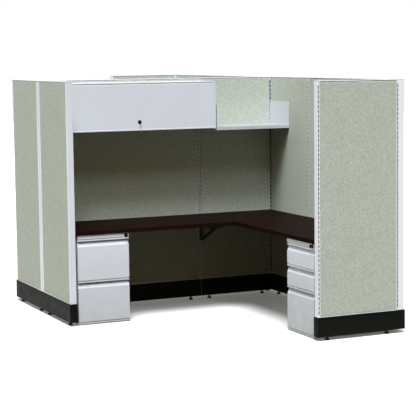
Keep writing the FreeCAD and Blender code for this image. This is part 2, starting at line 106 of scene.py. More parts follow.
def remap(tree, value, low, high, newLow=0.0, newHigh=1.0):
    values = {0: value, 1: low, 2: high, 3: newLow, 4: newHigh}
    return putNode(tree, "ShaderNodeMapRange", values).outputs[0]


# A look gives a noise its stretch, scale, detail and roughness
def noise(tree, place, look, scale=1.0):
    if "stretch" in look:
        values = {"Vector": place, "Scale": look["stretch"]}
        place = putNode(tree, "ShaderNodeMapping", values).outputs[0]
    values = {"Vector": place, "Scale": look.get("scale", scale),
              "Detail": look.get("detail", 2.0), "Roughness": look.get("rough", 0.5)}
    return putNode(tree, "ShaderNodeTexNoise", values).outputs[0]


# The look's cut is the range of the noise that becomes 0 to 1
def mask(tree, place, look, scale=1.0):
    return remap(tree, noise(tree, place, look, scale), *look["cut"])


# A shader group that takes a place and lengths, given here with their usual values
def openGroup(name, lengths, outputs):
    tree = bpy.data.node_groups.new(name, "ShaderNodeTree")
    tree.interface.new_socket("Vector", in_out="INPUT", socket_type="NodeSocketVector")
    for label, usual in lengths.items():
        socket = tree.interface.new_socket(label, in_out="INPUT", socket_type="NodeSocketFloat")
        socket.default_value = usual
    for label in outputs:
        tree.interface.new_socket(label, in_out="OUTPUT", socket_type="NodeSocketFloat")
    given = tree.nodes.new("NodeGroupInput").outputs
    return tree, given, tree.nodes.new("NodeGroupOutput").inputs


weaveForm = {
    "waver": {"scale": 90.0}, "waverWidth": 0.0012, "slub": {"detail": 1.0}, "slubStretch": 5.0,
    "yarnRise": 0.5, "fleckRise": 0.6, "fleckCut": (0.75, 1.25),
    "speckle": {"detail": 1.5, "rough": 0.6, "cut": (0.3, 0.7)},
    "patch": {"detail": 2.0, "rough": 0.55, "cut": (0.32, 0.68)},
}


# Plain weave on upright faces: crossing yarns, slubs along both, speckle and broad patches
def makeWeave(form):
    tree, given, out = openGroup(
        "plainWeave", {"Yarn pitch": 0.0016, "Slub length": 0.011, "Speckle size": 0.010,
                       "Patch size": 0.11}, ["Height", "Fleck", "Speckle", "Patch"])
    place = given["Vector"]
    parts = putNode(tree, "ShaderNodeSeparateXYZ", {0: place}).outputs
    across, up = calc(tree, "ADD", parts[0], parts[1]), parts[2]
    waver = calc(tree, "SUBTRACT", noise(tree, place, form["waver"]), 0.5)
    shift = calc(tree, "MULTIPLY", waver, form["waverWidth"])
    turns = calc(tree, "DIVIDE", math.pi, given["Yarn pitch"])
    yarns = [calc(tree, "SINE", calc(tree, "MULTIPLY", calc(tree, "ADD", way, shift), turns))
             for way in (across, up)]
    crossing = calc(tree, "MULTIPLY", *yarns)
    flat = putNode(tree, "ShaderNodeCombineXYZ", {0: across, 2: up}).outputs[0]
    along = calc(tree, "DIVIDE", 1.0, given["Slub length"])
    slubs = []
    for wide, high in ((1.0, form["slubStretch"]), (form["slubStretch"], 1.0)):
        scale = putNode(tree, "ShaderNodeCombineXYZ", {
            0: calc(tree, "MULTIPLY", along, wide), 2: calc(tree, "MULTIPLY", along, high)})
        spread = putNode(tree, "ShaderNodeVectorMath", {0: flat, 1: scale.outputs[0]},
                         operation="MULTIPLY").outputs[0]
        slubs.append(noise(tree, spread, form["slub"]))
    fleck = calc(tree, "ADD", *slubs)
    tree.links.new(remap(tree, fleck, *form["fleckCut"]), out["Fleck"])
    rise = calc(tree, "ADD", calc(tree, "MULTIPLY", crossing, form["yarnRise"]),
                calc(tree, "MULTIPLY", fleck, form["fleckRise"]))
    tree.links.new(rise, out["Height"])
    for label, size, look in (("Speckle", "Speckle size", form["speckle"]),
                              ("Patch", "Patch size", form["patch"])):
        scale = calc(tree, "DIVIDE", 0.5, given[size])
        tree.links.new(mask(tree, place, look, scale), out[label])
    return tree


skinForm = {
    "grain": {"detail": 1.0},
    "cloud": {"scale": 3.2, "detail": 4.0, "rough": 0.6, "cut": (0.3, 0.7)},
    "gloss": {"scale": 14.0, "detail": 5.0, "rough": 0.65, "cut": (0.35, 0.7)},
}


# Orange peel of sprayed powder or moulded plastic, with a faint cloudiness
def makePaintSkin(form):
    tree, given, out = openGroup("paintSkin", {"Grain size": 0.0018}, ["Height", "Cloud", "Gloss"])
    place = given["Vector"]
    fine = noise(tree, place, form["grain"], calc(tree, "DIVIDE", 1.0, given["Grain size"]))
    tree.links.new(fine, out["Height"])
    tree.links.new(mask(tree, place, form["cloud"]), out["Cloud"])
    tree.links.new(mask(tree, place, form["gloss"]), out["Gloss"])
    return tree


dustForm = {
    "patches": {"scale": 11.0, "detail": 5.0, "rough": 0.6, "cut": (0.35, 0.75, 0.7, 1.0)},
    "scuffs": {"stretch": (9.0, 9.0, 70.0), "detail": 4.0, "rough": 0.7, "cut": (0.62, 0.72)},
    "scuffFade": 0.5,
}


# Dust and shoe scuffs, thick near the floor and gone above the reach given.
# Where a paint takes it strongly, as on the pedestals, it is painted shade, darker towards the floor
def makeFloorDustAndShade(form):
    tree, given, out = openGroup("floorDustAndShade", {"Reach": 0.25}, ["Dust", "Scuff"])
    place = given["Vector"]
    height = putNode(tree, "ShaderNodeSeparateXYZ", {0: place}).outputs[2]
    low = calc(tree, "SUBTRACT", 1.0, calc(tree, "DIVIDE", height, given["Reach"]))
    low = putNode(tree, "ShaderNodeClamp", {0: low}).outputs[0]
    tree.links.new(calc(tree, "MULTIPLY", low, mask(tree, place, form["patches"])), out["Dust"])
    fade = calc(tree, "POWER", low, form["scuffFade"])
    tree.links.new(calc(tree, "MULTIPLY", mask(tree, place, form["scuffs"]), fade), out["Scuff"])
    return tree


woodForm = {
    "bend": {"stretch": (1.1, 5.0, 5.0), "detail": 3.0}, "bendWidth": 0.11, "waveShare": 0.22,
    "patch": {"stretch": (0.9, 16.0, 16.0), "detail": 4.0, "rough": 0.6}, "bandCut": (0.2, 0.85),
    "ribbon": {"stretch": (5.0, 150.0, 150.0), "detail": 3.0, "rough": 0.6, "cut": (0.3, 0.7)},
    "pores": {"stretch": (45.0, 1300.0, 1300.0), "detail": 2.0, "rough": 0.6, "cut": (0.56, 0.68)},
}


# Straight mahogany figure along the vector's X: broad bands, ribbon stripe and fine pores
def makeWoodFigure(form):
    tree, given, out = openGroup("woodFigure", {"Band width": 0.055}, ["Band", "Ribbon", "Pore"])
    place = given["Vector"]
    bend = calc(tree, "MULTIPLY", noise(tree, place, form["bend"]), form["bendWidth"])
    across = putNode(tree, "ShaderNodeSeparateXYZ", {0: place}).outputs[1]
    turns = calc(tree, "DIVIDE", 2 * math.pi, given["Band width"])
    wave = calc(tree, "SINE", calc(tree, "MULTIPLY", calc(tree, "ADD", across, bend), turns))
    band = calc(tree, "ADD", calc(tree, "MULTIPLY", wave, form["waveShare"]),
                noise(tree, place, form["patch"]))
    tree.links.new(remap(tree, band, *form["bandCut"]), out["Band"])
    tree.links.new(mask(tree, place, form["ribbon"]), out["Ribbon"])
    tree.links.new(mask(tree, place, form["pores"]), out["Pore"])
    return tree


plainWeave, paintSkin = makeWeave(weaveForm), makePaintSkin(skinForm)
floorDustAndShade, woodFigure = makeFloorDustAndShade(dustForm), makeWoodFigure(woodForm)
print("shared effects ready")


# Returns a material with its tree, the Principled shader's inputs and the place vector
def openMaterial(name, constants):
    made = bpy.data.materials.new(name)
    made.use_nodes = True
    tree = made.node_tree
    inputs = tree.nodes["Principled BSDF"].inputs
    for label, value in constants.items():
        inputs[label].default_value = value
    return made, tree, inputs, tree.nodes.new("ShaderNodeTexCoord").outputs["Object"]


def effect(tree, group, place, values):
    node = tree.nodes.new("ShaderNodeGroup")
    node.node_tree = group
    tree.links.new(place, node.inputs["Vector"])
    for label, value in values.items():
        node.inputs[label].default_value = value
    return node.outputs


def bump(tree, inputs, height, distance, strength):
    values = {"Height": height, "Distance": distance, "Strength": strength}
    tree.links.new(putNode(tree, "ShaderNodeBump", values).outputs[0], inputs["Normal"])


# Roughness that wanders with the mask, from less to more than the finish's own
def varyRoughness(tree, inputs, wander, roughness, less, more):
    varied = remap(tree, wander, 0.0, 1.0, roughness - less, roughness + more)
    tree.links.new(varied, inputs["Roughness"])


# Lays a tone over the colour where the mask is
def overlay(tree, under, tone, where, share):
    return blendColour(tree, calc(tree, "MULTIPLY", where, share), under, tone)


def darker(colour, share):
    return tuple(part * share for part in colour)


fabricLook = {
    "ground": (0.450, 0.512, 0.448), "light": (0.62, 0.68, 0.62), "dark": (0.27, 0.31, 0.255),
    "beige": (0.52, 0.55, 0.485), "fleckShare": 0.38, "speckleShare": 0.40, "patchShare": 0.36,
    "contrast": 2.0, "bump": (0.0006, 0.6),
    "weave": {"Yarn pitch": 0.0016, "Slub length": 0.012, "Speckle size": 0.0046,
              "Patch size": 0.10},
    "shader": {"Roughness": 0.94, "Sheen Weight": 0.1, "Sheen Roughness": 0.6,
               "Specular IOR Level": 0.2},
}


def makeFabric(name, look):
    made, tree, inputs, place = openMaterial(name, look["shader"])
    weave = effect(tree, plainWeave, place, look["weave"])
    colour = overlay(tree, look["ground"], look["beige"], weave["Patch"], look["patchShare"])
    for label, share in (("Fleck", look["fleckShare"]), ("Speckle", look["speckleShare"])):
        pale = calc(tree, "POWER", weave[label], look["contrast"])
        deep = calc(tree, "POWER", calc(tree, "SUBTRACT", 1.0, weave[label]), look["contrast"])
        colour = overlay(tree, colour, look["light"], pale, share)
        colour = overlay(tree, colour, look["dark"], deep, share)
    tree.links.new(colour, inputs["Base Color"])
    bump(tree, inputs, weave["Height"], *look["bump"])
    return made


# Shared by all paints. Dust lies thick near the floor, and on the pedestals it is so strong that it is painted
# shade, darker towards the floor.
# Faces that look up are toned darker: painted shade over the light they get
paintLook = {
    "grain": 0.0018, "shade": 0.93, "cloudShare": 0.5, "topShadeShare": (0.62, 0.76),
    "topShadeBlue": 0.985, "dustTone": (0.36, 0.375, 0.38), "scuffTone": (0.25, 0.25, 0.25),
    "scuffShare": 0.12, "gloss": (0.05, 0.07), "bump": (0.00012, 0.5),
}
paints = {
    "trimPaint": {"colour": (0.655, 0.705, 0.785), "roughness": 0.40},
    # A paler copy of the trim paint for the return trims: painted light
    "returnTrimPaint": {"colour": (0.88, 0.94, 1.0), "roughness": 0.40},
    "panelPaint": {"colour": (0.81, 0.86, 0.93)},
    # A darker copy of the panel paint for the strips inside the bays: painted shade
    "standardPaint": {"colour": (0.54, 0.575, 0.605)},
    "cabinetPaint": {"colour": (0.645, 0.69, 0.76)},
    # The pedestals' strong, high dust is painted shade: their fronts grow darker towards the floor
    "pedestalPaint": {"colour": (0.65, 0.70, 0.775), "dust": 0.60, "dustAndShadeShare": 0.66},
    # A paler copy of the pedestal paint for the right pedestal: painted light, with stronger painted shade towards
    # the floor
    "rightPedestalPaint": {"colour": (0.81, 0.88, 0.97), "dust": 0.60, "dustAndShadeShare": 0.92},
    # A darker copy of the shelf paint, with a darker top tone, for the pan: painted shade that also throws back
    # less light
    "shelfPaint": {"colour": (0.45, 0.48, 0.50), "topShade": 0.24},
    "drawerBoxPaint": {"colour": (0.55, 0.56, 0.58), "roughness": 0.45},
    "bracketBlack": {"colour": (0.03, 0.03, 0.03), "roughness": 0.45},
}


def makePaint(name, colour, roughness=0.42, dust=0.25, dustAndShadeShare=0.10, topShade=0.285):
    look = paintLook
    made, tree, inputs, place = openMaterial(name, {"Roughness": roughness})
    skin = effect(tree, paintSkin, place, {"Grain size": look["grain"]})
    dirt = effect(tree, floorDustAndShade, place, {"Reach": dust})
    clouded = overlay(tree, colour, darker(colour, look["shade"]), skin["Cloud"],
                      look["cloudShare"])
    # Painted shade on faces that look up, by the share stored on each face
    upward = putNode(tree, "ShaderNodeAttribute", attribute_name="upward").outputs["Fac"]
    topShadeShare = remap(tree, skin["Gloss"], 0.0, 1.0, *look["topShadeShare"])
    topShadeTone = (topShade, topShade, topShade * look["topShadeBlue"])
    topShaded = overlay(tree, clouded, topShadeTone, upward, topShadeShare)
    dusty = overlay(tree, topShaded, look["dustTone"], dirt["Dust"], dustAndShadeShare)
    scuffed = overlay(tree, dusty, look["scuffTone"], dirt["Scuff"], look["scuffShare"])
    tree.links.new(scuffed, inputs["Base Color"])
    varyRoughness(tree, inputs, skin["Gloss"], roughness, *look["gloss"])
    bump(tree, inputs, skin["Height"], *look["bump"])
    return made


plasticLook = {
    "grain": 0.0009, "dust": 0.16, "shade": 0.7, "dustTone": (0.30, 0.29, 0.27),
    "scuffTone": (0.3, 0.3, 0.3), "dirtShare": 0.02, "gloss": (0.06, 0.1), "bump": (0.0001, 0.6),
}
plastics = {
    "racewayBlack": {"colour": (0.0035, 0.0048, 0.0028), "roughness": 0.55, "specular": 0.04},
    "footBlack": {"colour": (0.012, 0.012, 0.012), "roughness": 0.5, "specular": 0.2},
    "lockBlack": {"colour": (0.003, 0.003, 0.0035), "roughness": 0.35, "specular": 0.1},
    # The sheets at the foot of the slots are painted shade: deepest at a wall's ends, lighter at joints, middling
    # on the returns
    "slotDark": {"colour": (0.008, 0.009, 0.011), "roughness": 0.7, "specular": 0.1},
    "slotShade": {"colour": (0.20, 0.21, 0.22), "roughness": 0.7, "specular": 0.1},
    "slotGrey": {"colour": (0.085, 0.09, 0.095), "roughness": 0.7, "specular": 0.1},
}


def makePlastic(name, colour, roughness, specular):
    look = plasticLook
    made, tree, inputs, place = openMaterial(
        name, {"Roughness": roughness, "Specular IOR Level": specular})
    skin = effect(tree, paintSkin, place, {"Grain size": look["grain"]})
    dirt = effect(tree, floorDustAndShade, place, {"Reach": look["dust"]})
    mixed = blendColour(tree, skin["Cloud"], colour, darker(colour, look["shade"]))
    dusty = overlay(tree, mixed, look["dustTone"], dirt["Dust"], look["dirtShare"])
    scuffed = overlay(tree, dusty, look["scuffTone"], dirt["Scuff"], look["dirtShare"])
    tree.links.new(scuffed, inputs["Base Color"])
    varyRoughness(tree, inputs, skin["Gloss"], roughness, *look["gloss"])
    bump(tree, inputs, skin["Height"], *look["bump"])
    return made


metalLook = {"shade": 0.75, "gloss": (0.08, 0.12), "bump": (0.00005, 0.4)}
metals = {
    "zincPlate": {"colour": (0.62, 0.63, 0.64), "roughness": 0.34, "grain": 0.004},
    "keySteel": {"colour": (0.55, 0.55, 0.56), "roughness": 0.3, "grain": 0.002},
}


def makeMetal(name, colour, roughness, grain):
    look = metalLook
    made, tree, inputs, place = openMaterial(name, {"Roughness": roughness, "Metallic": 1.0})
    skin = effect(tree, paintSkin, place, {"Grain size": grain})
    mixed = blendColour(tree, skin["Cloud"], colour, darker(colour, look["shade"]))
    tree.links.new(mixed, inputs["Base Color"])
    varyRoughness(tree, inputs, skin["Gloss"], roughness, *look["gloss"])
    bump(tree, inputs, skin["Height"], *look["bump"])
    return made


woodLook = {"specular": 0.015, "ribbonShare": 0.45, "poreShare": 0.6, "gloss": (0.04, 0.08),
            "bump": (-0.00008, 0.5)}
mahogany = {"deep": (0.0020, 0.0009, 0.0008), "middle": (0.0052, 0.0021, 0.0016),
            "warm": (0.014, 0.0046, 0.0033), "pore": (0.0012, 0.0007, 0.0007)}
bandTones = {"deep": (0.0055, 0.0027, 0.0023), "middle": (0.0095, 0.0043, 0.0036),
             "warm": (0.016, 0.0065, 0.0052), "pore": (0.003, 0.0015, 0.0015)}
laminates = {
    "deskLaminateAlongX": {"turn": 0, "tones": mahogany, "bandWidth": 0.055, "roughness": 0.5},
    "deskLaminateAlongY": {"turn": 90, "tones": mahogany, "bandWidth": 0.055, "roughness": 0.5},
    "deskBand": {"turn": 0, "tones": bandTones, "bandWidth": 0.02, "roughness": 0.38},
}


def makeLaminate(name, turn, tones, bandWidth, roughness):
    look = woodLook
    made, tree, inputs, place = openMaterial(
        name, {"Roughness": roughness, "Specular IOR Level": look["specular"]})
    values = {"Vector": place, "Rotation": (0, 0, math.radians(turn))}
    turned = putNode(tree, "ShaderNodeMapping", values).outputs[0]
    figure = effect(tree, woodFigure, turned, {"Band width": bandWidth})
    body = blendColour(tree, figure["Band"], tones["deep"], tones["middle"])
    lit = overlay(tree, body, tones["warm"], figure["Ribbon"], look["ribbonShare"])
    pored = overlay(tree, lit, tones["pore"], figure["Pore"], look["poreShare"])
    tree.links.new(pored, inputs["Base Color"])
    varyRoughness(tree, inputs, figure["Ribbon"], roughness, *look["gloss"])
    bump(tree, inputs, figure["Pore"], *look["bump"])
    return made


finishes = {"sageFabric": makeFabric("sageFabric", fabricLook)}
for make, looks in ((makePaint, paints), (makePlastic, plastics), (makeMetal, metals),
                    (makeLaminate, laminates)):
    for name, look in looks.items():
        finishes[name] = make(name, **look)
print("finishes ready")

slotFinish = {
    "panel_frame": "panelPaint", "tile_fabric": "sageFabric", "raceway_black": "racewayBlack",
    "trim_paint": "trimPaint", "foot_plastic": "footBlack", "desk_laminate": "deskLaminateAlongX",
    "desk_band": "deskBand", "bracket_paint": "bracketBlack", "lock_black": "lockBlack",
    "slide_steel": "zincPlate", "drawer_box_paint": "drawerBoxPaint",
    "pedestal_paint": "pedestalPaint", "cabinet_paint": "cabinetPaint",
    "shelf_paint": "shelfPaint",
}
# The shelf ends take the paler cabinet paint while the pan keeps the darker shelf paint: painted light and shade
# on what is one paint
ownFinish = {"wing_worksurface": "deskLaminateAlongY", "shelf_ends": "cabinetPaint",
             # The corner posts take the paler panel paint rather than the trim paint: painted light
             "corner_posts": "panelPaint"}
record = frame["record"]
slotOf = {row["node"]: row["material_slot"] for row in record["subparts"]}
bodyOf = {node: body for body, nodes in record["behaviour"]["bodies"].items() for node in nodes}
jointPlace = {joint["name"]: Vector(joint["pos_m"]) for joint in frame["joints"]
              if joint.get("pos_m")}


def finishOf(node):
    # The right pedestal takes the paler copy of its paint: painted light
    if node.startswith("right_") and slotOf[node] == "pedestal_paint":
        return finishes["rightPedestalPaint"]
    return finishes[ownFinish.get(node, slotFinish[slotOf[node]])]


for node, cadObject in frame["nodes"].items():
    cadObject.data.materials.clear()
    cadObject.data.materials.append(finishOf(node))
print("every CAD node has its finish")


def linkPiece(name, mesh, *materials):
    made = bpy.data.objects.new(name, mesh)
    bpy.context.scene.collection.objects.link(made)
    for material in materials:
        mesh.materials.append(material)
    return made


# Turns the object's modifiers into a plain mesh
def flattened(made):
    bpy.context.view_layer.update()
    graph = bpy.context.evaluated_depsgraph_get()
    mesh = bpy.data.meshes.new_from_object(
        made.evaluated_get(graph), preserve_all_data_layers=True, depsgraph=graph)
    made.modifiers.clear()
    made.data = mesh
    return made


# The hemmed crease over the lip of a drawer front or rail: from the lip's foot and from its face
creaseLook = {"foot": 12.0, "head": 15.0, "depth": 3.0, "deeper": 7.0, "higher": 2.6, "near": 0.2}


# The left pedestal faces along minus Y, the right one along minus X
def faceAxis(node):
    return 1 if node.startswith("left") else 0


def deepenCrease(work, node):
    look, axis = inMetres(creaseLook), faceAxis(node)
    near, lip = look["near"], look["depth"]
    face = min(vert.co[axis] for vert in work.verts)
    low = min(vert.co.z for vert in work.verts if vert.co[axis] - face < lip + near)
    for vert in work.verts:
        depth, rise = vert.co[axis] - face, vert.co.z - low
        if depth > lip + near:
            continue
        atFoot, atHead = (abs(rise - look[end]) < near for end in ("foot", "head"))
        if abs(depth - lip) < near and (atFoot or atHead):
            vert.co[axis] += look["deeper"]
        if atHead:
            vert.co.z += look["higher"]


# The hollow that a front is pulled by, along its top edge: a ledge that curves up into the crest
pullLook = {"height": 24.0, "depth": 13.0, "crest": 2.0, "rise": 7.0, "steps": 7, "near": 0.2}


def hollowPull(work, node):
    look, axis = inMetres(pullLook), faceAxis(node)
    near, steps, depth = look["near"], look["steps"], look["depth"]
    face = min(vert.co[axis] for vert in work.verts)
    high = max(vert.co.z for vert in work.verts)
    ledge, crest = high - look["height"], high - look["crest"]
    for vert in work.verts:
        if vert.co.z > crest - near:
            vert.co.z += look["rise"]
    reach = crest + look["rise"] - ledge
    for step in range(1, steps):
        quarter = math.pi / 2 * step / steps
        rise = reach * (1 - math.cos(quarter))
        cut = bmesh.ops.bisect_plane(work, geom=work.verts[:] + work.edges[:] + work.faces[:],
                                     plane_co=(0, 0, ledge + rise), plane_no=(0, 0, 1))
        slope = face + depth * rise / reach
        for vert in cut["geom_cut"]:
            if isinstance(vert, bmesh.types.BMVert) and abs(vert.co[axis] - slope) < near:
                vert.co[axis] = face + depth * math.sin(quarter)


# Folded and moulded edges: each node whose name ends so gets a copy rounded by this radius, in mm
edgeLook = {
    "radius": {
        "fabric_tiles": 1.4, "base_covers": 0.9, "base_corner_covers": 0.9, "top_cap": 0.7,
        "top_caps": 0.7, "posts": 1.2, "end_trims": 0.6, "worksurface": 0.5, "edge_bands": 0.5,
        "cabinet_door": 0.4, "cabinet_shell": 0.3, "shelf_pan": 0.6, "_front": 0.6,
        "pedestal_case": 0.5,
    },
    "merge": 0.01,  # points closer than this, in mm, are one
    "flat": 0.6, "sharp": 28.0,  # degrees below which faces are one, and above which edges round
    "steps": 3, "faceWeight": 100,
    "topShadeFrom": 0.2, "topShadeFull": 0.75,  # upward part of the normal where the painted shade on tops starts, and is full
}


def roundEdges(node, radius):
    look, work = edgeLook, bmesh.new()
    work.from_mesh(frame["nodes"][node].data)
    bmesh.ops.remove_doubles(work, verts=work.verts, dist=look["merge"] * mm)
    bmesh.ops.dissolve_limit(work, angle_limit=math.radians(look["flat"]),
                             verts=work.verts, edges=work.edges)
    if node.endswith(("_front", "pedestal_case")):
        deepenCrease(work, node)
    if node.endswith("_front"):
        hollowPull(work, node)
    mesh = bpy.data.meshes.new(node)
    work.to_mesh(mesh)
    work.free()
    made = linkPiece(node + "_shaped", mesh, finishOf(node))
    edge = made.modifiers.new("edge", "BEVEL")
    edge.width, edge.segments = radius * mm, look["steps"]
    edge.limit_method, edge.angle_limit = "ANGLE", math.radians(look["sharp"])
    edge.use_clamp_overlap = True
    for face in mesh.polygons:
        face.use_smooth = True
    made.modifiers.new("evenFaces", "WEIGHTED_NORMAL").weight = look["faceWeight"]
    mesh = flattened(made).data
    # Each face's share of painted shade on tops, by how far it looks up
    least, most = look["topShadeFrom"], look["topShadeFull"]
    tops = [min(max((face.normal.z - least) / (most - least), 0.0), 1.0) for face in mesh.polygons]
    mesh.attributes.new("upward", "FLOAT", "FACE").data.foreach_set("value", tops)
    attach(made, bodyOf[node])
    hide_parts(node)
    return made


# The trims of the return panels stand right of the middle and get a paler copy of the trim paint: painted light
def paintReturnTrims(trims):
    trims.data.materials.append(finishes["returnTrimPaint"])
    for face in trims.data.polygons:
        face.material_index = int(face.center.x > 0)


for node in list(frame["nodes"]):
    for ending, radius in edgeLook["radius"].items():
        if node.endswith(ending):
            rounded = roundEdges(node, radius)
            if node == "end_trims":
                paintReturnTrims(rounded)
print("edges rounded")


# A tree that takes points, all of a look's sizes and counts, and materials
def openShapeTree(name, look, materials=()):
    tree = bpy.data.node_groups.new(name, "GeometryNodeTree")
    kinds = {"Places": "Geometry"}
    for label, value in look.items():
        kinds[label] = "Int" if isinstance(value, int) else "Float"
    for label in materials:
        kinds[label] = "Material"
    for label, kind in kinds.items():
        tree.interface.new_socket(label, in_out="INPUT", socket_type="NodeSocket" + kind)
    tree.interface.new_socket("Pieces", in_out="OUTPUT", socket_type="NodeSocketGeometry")
    given = tree.nodes.new("NodeGroupInput").outputs
    return tree, given, tree.nodes.new("NodeGroupOutput").inputs[0]


def joinShapes(tree, shapes):
    join = tree.nodes.new("GeometryNodeJoinGeometry")
    for shape in shapes:
        tree.links.new(shape, join.inputs[0])
    return join.outputs[0]


# Puts the shape on each point, turned by the point's attribute, as real mesh
def setOnPoints(tree, points, shape):
    turn = putNode(tree, "GeometryNodeInputNamedAttribute", {"Name": "turn"}, data_type="FLOAT")
    spin = putNode(tree, "ShaderNodeCombineXYZ", {2: turn.outputs[0]}).outputs[0]
    placed = putNode(tree, "GeometryNodeInstanceOnPoints", {
        "Points": points, "Instance": shape, "Rotation": spin}).outputs[0]
    return putNode(tree, "GeometryNodeRealizeInstances", {"Geometry": placed}).outputs[0]


# Builds a piece from points with the tree, its inputs set by their identifiers
def growPiece(name, tree, places, turns, values):
    mesh = bpy.data.meshes.new(name)
    mesh.from_pydata(places, [], [])
    mesh.attributes.new("turn", "FLOAT", "POINT").data.foreach_set("value", turns)
    made = linkPiece(name, mesh)
    grower = made.modifiers.new("shape", "NODES")
    grower.node_group = tree
    for socket in tree.interface.items_tree:
        if socket.in_out == "INPUT" and socket.name in values:
            grower[socket.identifier] = values[socket.name]
    flattened(made)
    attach(made, workstation)
    return made


# Slotted standards: a row of slots down both edges of each panel, but not on a wall's outer face.
# The slots are shallow, with a sheet of painted shade at their foot
stripLook = {
    "row": {"Thickness": 0.8, "Low": 158.0, "High": 1696.0, "First slot": 177.0, "Pitch": 31.3,
            "Slot width": 7.8, "Slot height": 25.0, "Slots": 48},
    "width": 14.1, "slotInset": 5.5, "stile": 14.5, "jointPlay": 5.0,
    "backShare": 0.12,  # thickness of the painted shade sheet that shows in the slots, as a share
}


def buildStripTree():
    tree, given, out = openShapeTree(
        "slotStrip", {**stripLook["row"], "Left bar": 0.0, "Right bar": 0.0},
        ["Paint", "Slot shade"])

    # A sheet this thick in front of the panel's face
    def slab(x, width, low, high, thickness):
        size = putNode(tree, "ShaderNodeCombineXYZ", {
            0: width, 1: thickness, 2: calc(tree, "SUBTRACT", high, low)}).outputs[0]
        centre = putNode(tree, "ShaderNodeCombineXYZ", {
            0: x, 1: calc(tree, "MULTIPLY", thickness, -0.5),
            2: calc(tree, "MULTIPLY", calc(tree, "ADD", high, low), 0.5)}).outputs[0]
        cube = putNode(tree, "GeometryNodeMeshCube", {"Size": size}).outputs[0]
        return putNode(tree, "GeometryNodeTransform", {
            "Geometry": cube, "Translation": centre}).outputs[0]

    left, right, slot = given["Left bar"], given["Right bar"], given["Slot width"]
    low, high, sheet = given["Low"], given["High"], given["Thickness"]
    first, pitch = given["First slot"], given["Pitch"]
    total = calc(tree, "ADD", calc(tree, "ADD", left, right), slot)
    edge = calc(tree, "MULTIPLY", total, -0.5)
    slotX = calc(tree, "ADD", calc(tree, "ADD", edge, left), calc(tree, "MULTIPLY", slot, 0.5))
    leftX = calc(tree, "ADD", edge, calc(tree, "MULTIPLY", left, 0.5))
    rightX = calc(tree, "SUBTRACT", calc(tree, "MULTIPLY", total, 0.5),
                  calc(tree, "MULTIPLY", right, 0.5))
    gaps = calc(tree, "SUBTRACT", given["Slots"], 1.0)
    slotTop = calc(tree, "ADD", first, given["Slot height"])
    lastTop = calc(tree, "ADD", slotTop, calc(tree, "MULTIPLY", gaps, pitch))
    bridge = slab(slotX, slot, slotTop, calc(tree, "ADD", first, pitch), sheet)
    step = putNode(tree, "ShaderNodeCombineXYZ", {2: pitch}).outputs[0]
    rungs = putNode(tree, "GeometryNodeMeshLine", {"Count": gaps, "Offset": step}).outputs[0]
    bridges = putNode(tree, "GeometryNodeInstanceOnPoints", {
        "Points": rungs, "Instance": bridge}).outputs[0]
    # The sheet at the foot of the slots carries the painted shade
    thin = calc(tree, "MULTIPLY", sheet, stripLook["backShare"])
    back = slab(slotX, slot, first, lastTop, thin)
    marked = putNode(tree, "GeometryNodeStoreNamedAttribute", {
        "Geometry": back, "Name": "inSlot", "Value": True}, data_type="BOOLEAN", domain="FACE")
    strip = joinShapes(tree, [
        slab(leftX, left, low, high, sheet), slab(rightX, right, low, high, sheet),
        slab(slotX, slot, low, first, sheet), slab(slotX, slot, lastTop, high, sheet),
        bridges, marked.outputs[0]])
    real = setOnPoints(tree, given["Places"], strip)
    inSlot = putNode(tree, "GeometryNodeInputNamedAttribute", {"Name": "inSlot"},
                     data_type="BOOLEAN").outputs[0]
    painted = putNode(tree, "GeometryNodeSetMaterial", {
        "Geometry": real, "Material": given["Paint"]}).outputs[0]
    shaded = putNode(tree, "GeometryNodeSetMaterial", {
        "Geometry": painted, "Selection": inSlot, "Material": given["Slot shade"]}).outputs[0]
    tree.links.new(shaded, out)
    return tree


# Foot of each strip and the turn that faces it out, sorted by wall, by whether a panel joins on
# there in line, and by slots left or right of the strip's middle
def stripPlaces():
    half, play = stripLook["stile"] / 2 * mm, stripLook["jointPlay"] * mm
    panels = {node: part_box(node) for node in frame["nodes"] if node.endswith("_panel")}
    strips = {}
    for node, (low, high) in panels.items():
        across = high.x - low.x > high.y - low.y
        axis = 0 if across else 1
        wall = node.split("_")[0]
        inLine = [box for other, box in panels.items() if other.split("_")[0] == wall]
        if across:
            faces = ((low.y, 0.0, 1), (high.y, math.pi, -1))
        else:
            faces = ((low.x, -math.pi / 2, -1), (high.x, math.pi / 2, 1))
        outer = {"left": low.x, "right": high.x}.get(node.split("_wall")[0])
        for face, turn, way in faces:
            if face == outer:
                continue
            for edge, end in ((low[axis], -1), (high[axis], 1)):
                place = edge - end * half
                point = (place, face, 0.0) if across else (face, place, 0.0)
                joined = any(abs(box[0 if end > 0 else 1][axis] - edge) < play for box in inLine)
                kind = ("return" if "return" in node else "wall", "Joint" if joined else "End",
                        "Right" if way * end > 0 else "Left")
                strips.setdefault(kind, []).append((point, turn))
    return strips


stripTree = buildStripTree()
slotRow, margin = stripLook["row"], (stripLook["stile"] - stripLook["width"]) / 2
narrowBar = stripLook["slotInset"] - slotRow["Slot width"] / 2 - margin
broadBar = stripLook["width"] - slotRow["Slot width"] - narrowBar
for (wall, spot, hand), places in stripPlaces().items():
    leftBar, rightBar = (narrowBar, broadBar) if hand == "Left" else (broadBar, narrowBar)
    values = inMetres({**slotRow, "Left bar": leftBar, "Right bar": rightBar})
    # Strips inside the bays take the darker copy of the panel paint, painted shade; the returns' strips take the
    # panel paint itself
    paint, shade = "standardPaint", "slotShade" if spot == "Joint" else "slotDark"
    if wall == "return":
        paint, shade = "panelPaint", "slotGrey"
    # The slot sheets take their painted shade: deepest at a wall's ends, lighter at joints, middling on the
    # returns
    values["Paint"], values["Slot shade"] = finishes[paint], finishes[shade]
    growPiece(wall + spot + hand + "Strips", stripTree, [point for point, turn in places],
              [turn for point, turn in places], values)
print("slotted standards made")


